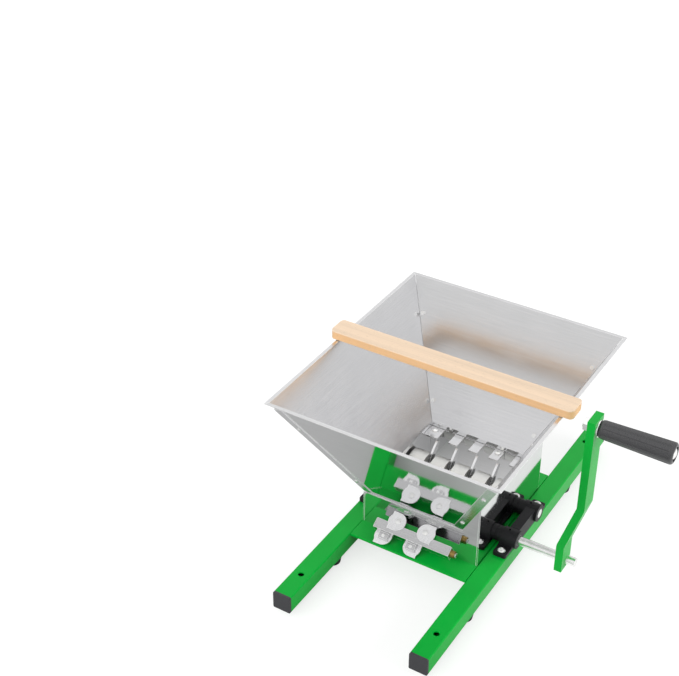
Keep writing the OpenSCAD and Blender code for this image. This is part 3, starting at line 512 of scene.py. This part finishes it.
class ScratterSettings(bpy.types.PropertyGroup):
    """Colours and sizes that someone would change."""
    paint: colour("Powder coat", "#02A636", "Colour of the rails, the crossbars and the crank")
    steel: colour("Stainless steel", "#E4E4E5", "Tint of the polished sheet")
    plating: colour("Zinc plating", "#FAFAF8", "Tint of the screws, the axles and the gears")
    alloy: colour("Cast alloy", "#EAEAE7", "Tint of the drum spacers")
    plastic: colour("Black plastic", "#1C1C1E", "Colour of the bearing blocks")
    grip: colour("Grip", "#303032", "Colour of the crank's grip")
    caps: colour("End caps", "#38383B", "Colour of the rails' end caps")
    rubber: colour("Rubber", "#18181A", "Colour of the feet")
    brass: colour("Brass", "#A68C52", "Tint of the spare rotor's bush")
    wood: colour("Beech", "#ECD3B8", "Colour of the pusher's broad faces")
    wood_side: colour("Beech edge", "#E5B989", "Colour of the pusher's narrow faces")
    floor: colour("Floor", "#A4A4A4", "Colour of the studio's floor")
    gloss: FloatProperty(name="Polish", description="Roughness of the polished sheet",
                         default=0.1, min=0.02, max=0.5, subtype="FACTOR")
    eye: FloatVectorProperty(name="Camera", description="Where the camera stands",
                             subtype="TRANSLATION", unit="LENGTH", size=3,
                             default=(0.61327, -1.27452, 1.21022))
    lens: FloatProperty(name="Lens", description="Focal length on a 36 mm sensor",
                        default=72.75, min=20, max=200, unit="CAMERA")
    key: power("Key light", 50, "Power of the light in front")
    fill: power("Fill light", 52, "Power of the light on the crank's side")
    back: power("Back light", 28, "Power of the light behind")
    room: FloatProperty(name="Room light", description="Strength of the white room's own light",
                        default=0.52, min=0, max=2)


class SCRATTER_OT_frame(bpy.types.Operator):
    """Finish the rails, the crossbars, the end caps and the feet"""
    bl_idname = "scratter.frame"
    bl_label = "Frame"

    def execute(self, context):
        look = context.scene.scratter
        dress(["left_rail", "right_rail", "front_crossbar", "rear_crossbar"],
              powder_coat("green_powder_coat", look.paint))
        dress(["rail_end_caps"], moulded("polyethylene_caps", look.caps, 0.5, 1.2 * MM))
        dress(["rubber_feet"], moulded("rubber", look.rubber, 0.65, 1.5 * MM))
        return {"FINISHED"}


class SCRATTER_OT_box(bpy.types.Operator):
    """Finish the box's plates, the gear guard and the combs"""
    bl_idname = "scratter.box"
    bl_label = "Box"

    def execute(self, context):
        look = context.scene.scratter
        plates = stainless("stainless_plate", look.steel, (20, 500, 500), look.gloss * 0.6)
        dress(["box_front_plate", "box_rear_plate", "box_left_plate", "box_right_plate",
               "gear_guard"], plates)
        dress(["front_comb", "rear_comb", "comb_brackets"],
              stainless("stainless_comb", look.steel, (500, 20, 500), look.gloss * 1.4))
        return {"FINISHED"}


class SCRATTER_OT_hopper(bpy.types.Operator):
    """Finish the hopper's four folded panels"""
    bl_idname = "scratter.hopper"
    bl_label = "Hopper"

    def execute(self, context):
        look = context.scene.scratter
        dress(["hopper_front_panel"],
              stainless("stainless_front", look.steel, (20, 500, 500), look.gloss * 0.6))
        dress(["hopper_rear_panel"],
              stainless("stainless_rear", look.steel, (20, 500, 500), look.gloss * 2.2))
        # Painted light: the side panels' steel is tinted 6% lighter than the front and rear,
        # standing in for the brighter reflections they show
        dress(["hopper_left_panel", "hopper_right_panel"],
              stainless("stainless_sides_lightened", shade(look.steel, 1.06), (500, 20, 500),
                        look.gloss * 2.2))
        return {"FINISHED"}


class SCRATTER_OT_drums(bpy.types.Operator):
    """Finish the axles, the spacers, the knives and the gears"""
    bl_idname = "scratter.drums"
    bl_label = "Drums"

    def execute(self, context):
        look = context.scene.scratter
        dress(["crank_axle", "rear_axle", "drive_gear", "driven_gear", "drive_key",
               "driven_key", "front_axle_clip", "rear_axle_clip"],
              turned_metal("ground_steel", look.plating, 2 * MM, 0.22))
        dress(["front_drum_spacers", "rear_drum_spacers"],
              turned_metal("turned_alloy", look.alloy, 2.5 * MM, 0.45))
        # The knives' roots between the rear drum's spacers get painted shade
        dress(["front_knives", "rear_knives"],
              stainless("stainless_knives", look.steel, (500, 60, 60), look.gloss * 1.6,
                        "rear_drum_spacers"))
        return {"FINISHED"}


class SCRATTER_OT_bearings(bpy.types.Operator):
    """Finish the bearing blocks and their bushes"""
    bl_idname = "scratter.bearings"
    bl_label = "Bearings"

    def execute(self, context):
        look = context.scene.scratter
        dress(["left_bearing_block", "right_bearing_block"],
              moulded("glass_filled_nylon", look.plastic, 0.42, 1 * MM, 0.22))
        dress(["bearing_bushes"], moulded("acetal_bush", look.plastic, 0.3, 0.8 * MM))
        return {"FINISHED"}


class SCRATTER_OT_crank(bpy.types.Operator):
    """Finish the crank, its bolt and its grip"""
    bl_idname = "scratter.crank"
    bl_label = "Crank"

    def execute(self, context):
        look = context.scene.scratter
        dress(["crank_arm"], powder_coat("green_powder_coat_arm", look.paint))
        dress(["arm_set_screw", "handle_bolt", "handle_nut", "handle_washer"],
              turned_metal("plated_bolt", look.plating, 2 * MM, 0.2))
        dress(["handle_grip"], moulded("grip_plastic", look.grip, 0.3, 0.9 * MM, 0.8))
        return {"FINISHED"}


class SCRATTER_OT_fasteners(bpy.types.Operator):
    """Finish the screws, bolts, nuts and rivets"""
    bl_idname = "scratter.fasteners"
    bl_label = "Fasteners"

    def execute(self, context):
        look = context.scene.scratter
        plated = turned_metal("plated_screws", look.plating, 2 * MM, 0.24)
        dress(["box_rivets", "box_nuts", "seam_nuts", "hopper_nuts", "bearing_nuts"], plated)
        for name, title, recess in (("seam_screws", "seam_screw_heads", cross_recess),
                                    ("hopper_bolts", "hopper_screw_heads", cross_recess),
                                    ("comb_screws", "comb_screw_heads", cross_recess),
                                    ("foot_screws", "foot_screw_heads", cross_recess),
                                    ("bearing_bolts", "bearing_bolt_heads", hex_socket),
                                    ("box_bolts", "box_bolt_heads", hex_socket)):
            machine_screws(name, title, recess, plated)
        return {"FINISHED"}


class SCRATTER_OT_pusher(bpy.types.Operator):
    """Finish the wooden pusher"""
    bl_idname = "scratter.pusher"
    bl_label = "Wooden pusher"

    def execute(self, context):
        look = context.scene.scratter
        low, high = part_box("wooden_pusher")
        dress(["wooden_pusher"],
              beech("planed_beech", look.wood, look.wood_side, low[2], high[2]))
        return {"FINISHED"}


class SCRATTER_OT_spare_rotor(bpy.types.Operator):
    """Finish the loose bladed rotor"""
    bl_idname = "scratter.spare_rotor"
    bl_label = "Spare rotor"

    def execute(self, context):
        look = context.scene.scratter
        # The bar is tinted darker than the sheet, and the blades lighter
        dress(["loose_bar"],
              stainless("stainless_bar", shade(look.steel, 0.78), (30, 400, 400),
                        look.gloss * 2))
        dress(["loose_blades"],
              stainless("stainless_blades", shade(look.steel, 1.12), (400, 40, 40),
                        look.gloss * 2.2))
        machine_screws("loose_blade_rivets", "blade_screw_heads", straight_slot,
                       turned_metal("rivet_steel", look.plating, 2 * MM, 0.3))
        dress(["loose_bush"], turned_metal("turned_brass", look.brass, 2 * MM, 0.3))
        return {"FINISHED"}


def area_light(name, place, size, watts):
    """A soft lamp, aimed at the machine."""
    lamp = bpy.data.lights.new(name, "AREA")
    lamp.shape = "RECTANGLE"
    lamp.size, lamp.size_y = size
    lamp.energy = watts
    light = bpy.data.objects.new(name, lamp)
    light.location = place
    light.rotation_euler = (Vector(MIDDLE) - Vector(place)).to_track_quat("-Z", "Y").to_euler()
    # The polished sheet shows the white room, and not the lamps
    light.visible_glossy = False
    bpy.context.scene.collection.objects.link(light)


def by_ray(tree, lighting, seen, reflected):
    """A strength for rays that light things, one for the camera's and one for reflections."""
    path = add_node(tree, "ShaderNodeLightPath")
    mirror = add_node(tree, "ShaderNodeMath", {"operation": "MAXIMUM"}, {
        0: path.outputs["Is Glossy Ray"], 1: path.outputs["Is Transmission Ray"]})
    unseen = blend_numbers(tree, mirror.outputs[0], lighting, reflected)
    return blend_numbers(tree, path.outputs["Is Camera Ray"], unseen, seen)


def room_in_metal(tree):
    """What polished metal shows of the room: white walls under a brighter ceiling."""
    place = add_node(tree, "ShaderNodeTexCoord")
    height = add_node(tree, "ShaderNodeSeparateXYZ", None, {0: place.outputs["Generated"]})
    return add_node(tree, "ShaderNodeMapRange", None, {
        "Value": height.outputs["Z"], "From Min": 0.35, "From Max": 0.85, "To Min": 0.75,
        "To Max": 1.1}).outputs[0]


class SCRATTER_OT_studio(bpy.types.Operator):
    """Build the white studio, with its floor, lights and camera"""
    bl_idname = "scratter.studio"
    bl_label = "Studio"

    def execute(self, context):
        look = context.scene.scratter
        scene = context.scene
        scene.view_settings.view_transform = "Standard"

        world = bpy.data.worlds.new("white_studio")
        world.use_nodes = True
        tree = world.node_tree
        tree.nodes.clear()
        output = add_node(tree, "ShaderNodeOutputWorld")
        white = add_node(tree, "ShaderNodeBackground", None, {
            "Color": (1, 1, 1, 1), "Strength": by_ray(tree, look.room, 1, room_in_metal(tree))})
        tree.links.new(white.outputs[0], output.inputs["Surface"])
        scene.world = world

        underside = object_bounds()[0][2]
        bm = bmesh.new()
        bmesh.ops.create_grid(bm, x_segments=4, y_segments=4, size=FLOOR_HALF_WIDTH)
        bmesh.ops.translate(bm, verts=bm.verts, vec=(0, 0, underside - FLOOR_GAP))
        mesh = as_mesh(bm, "floor")
        floor = bpy.data.objects.new("floor", mesh)
        scene.collection.objects.link(floor)
        # Matt paper: it looks white where nothing shades it, and keeps the shadow
        material, tree, output = new_material("studio_paper")
        grain = add_node(tree, "ShaderNodeTexNoise", None,
                         {"Vector": pattern_space(tree), "Scale": 3, "Detail": 2})
        paper = add_node(tree, "ShaderNodeBsdfDiffuse", None, {
            "Color": ramp(tree, grain.outputs["Fac"], [(0.3, shade(look.floor, 0.99)),
                                                       (0.7, look.floor)])})
        # Painted reflection: for reflected rays only, the floor glows from 0.12 in front to 0.6
        # under the box and beside the crank, standing in for its shade and light
        place = add_node(tree, "ShaderNodeTexCoord")
        across = add_node(tree, "ShaderNodeVectorMath", {"operation": "DOT_PRODUCT"}, {
            0: place.outputs["Object"], 1: (1, 1, 0)})
        side = add_node(tree, "ShaderNodeMapRange", None, {
            "Value": across.outputs["Value"], "From Min": -0.14, "From Max": 0.1,
            "To Min": 0.12, "To Max": 0.6})
        # The lamps reach less of the floor far away, so it glows more there
        far = add_node(tree, "ShaderNodeVectorMath", {"operation": "LENGTH"}, {
            0: place.outputs["Object"]})
        seen = add_node(tree, "ShaderNodeMapRange", None, {
            "Value": far.outputs["Value"], "From Min": 0.7, "From Max": 2.2, "To Min": 0.68,
            "To Max": 0.9})
        glow = add_node(tree, "ShaderNodeEmission", None, {
            "Color": (1, 1, 1, 1), "Strength": by_ray(tree, 0, seen.outputs[0],
                                                      side.outputs[0])})
        lit = add_node(tree, "ShaderNodeAddShader", None,
                       {0: paper.outputs[0], 1: glow.outputs[0]})
        tree.links.new(lit.outputs[0], output.inputs["Surface"])
        mesh.materials.append(material)
        floor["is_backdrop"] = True

        area_light("key", (-0.55, -2.1, 1.3), (2.4, 2.0), look.key)
        area_light("back", (-0.3, 2.2, 1.0), (2.0, 1.6), look.back)
        area_light("fill", (2.4, 0.35, 0.6), (2.0, 1.6), look.fill)

        lens = bpy.data.cameras.new("camera")
        lens.sensor_width = 36
        lens.lens = look.lens
        lens.clip_end = 60
        camera = bpy.data.objects.new("camera", lens)
        camera.matrix_world = (Matrix.Translation(look.eye)
                               @ Matrix.Rotation(math.radians(HEADING), 4, "Z")
                               @ Matrix.Rotation(math.radians(90 - TILT), 4, "X")
                               @ Matrix.Rotation(math.radians(ROLL), 4, "Z"))
        scene.collection.objects.link(camera)
        scene.camera = camera
        return {"FINISHED"}


PIECES = (SCRATTER_OT_frame, SCRATTER_OT_box, SCRATTER_OT_hopper, SCRATTER_OT_drums,
          SCRATTER_OT_bearings, SCRATTER_OT_crank, SCRATTER_OT_fasteners, SCRATTER_OT_pusher,
          SCRATTER_OT_spare_rotor, SCRATTER_OT_studio)


class SCRATTER_PT_panel(bpy.types.Panel):
    """Lists the scratter's settings and pieces"""
    bl_label = "Scratter"
    bl_idname = "SCRATTER_PT_panel"
    bl_space_type = "VIEW_3D"
    bl_region_type = "UI"
    bl_category = "Scratter"

    def draw(self, context):
        for name in ScratterSettings.__annotations__:
            self.layout.prop(context.scene.scratter, name)
        for piece in PIECES:
            self.layout.operator(piece.bl_idname)


def register():
    for cls in (ScratterSettings, *PIECES, SCRATTER_PT_panel):
        bpy.utils.register_class(cls)
    bpy.types.Scene.scratter = PointerProperty(type=ScratterSettings)


def unregister():
    del bpy.types.Scene.scratter
    for cls in reversed((ScratterSettings, *PIECES, SCRATTER_PT_panel)):
        bpy.utils.unregister_class(cls)


def main():
    register()
    for piece in PIECES:
        group, name = piece.bl_idname.split(".")
        getattr(getattr(bpy.ops, group), name)()


if __name__ == "__main__":
    main()
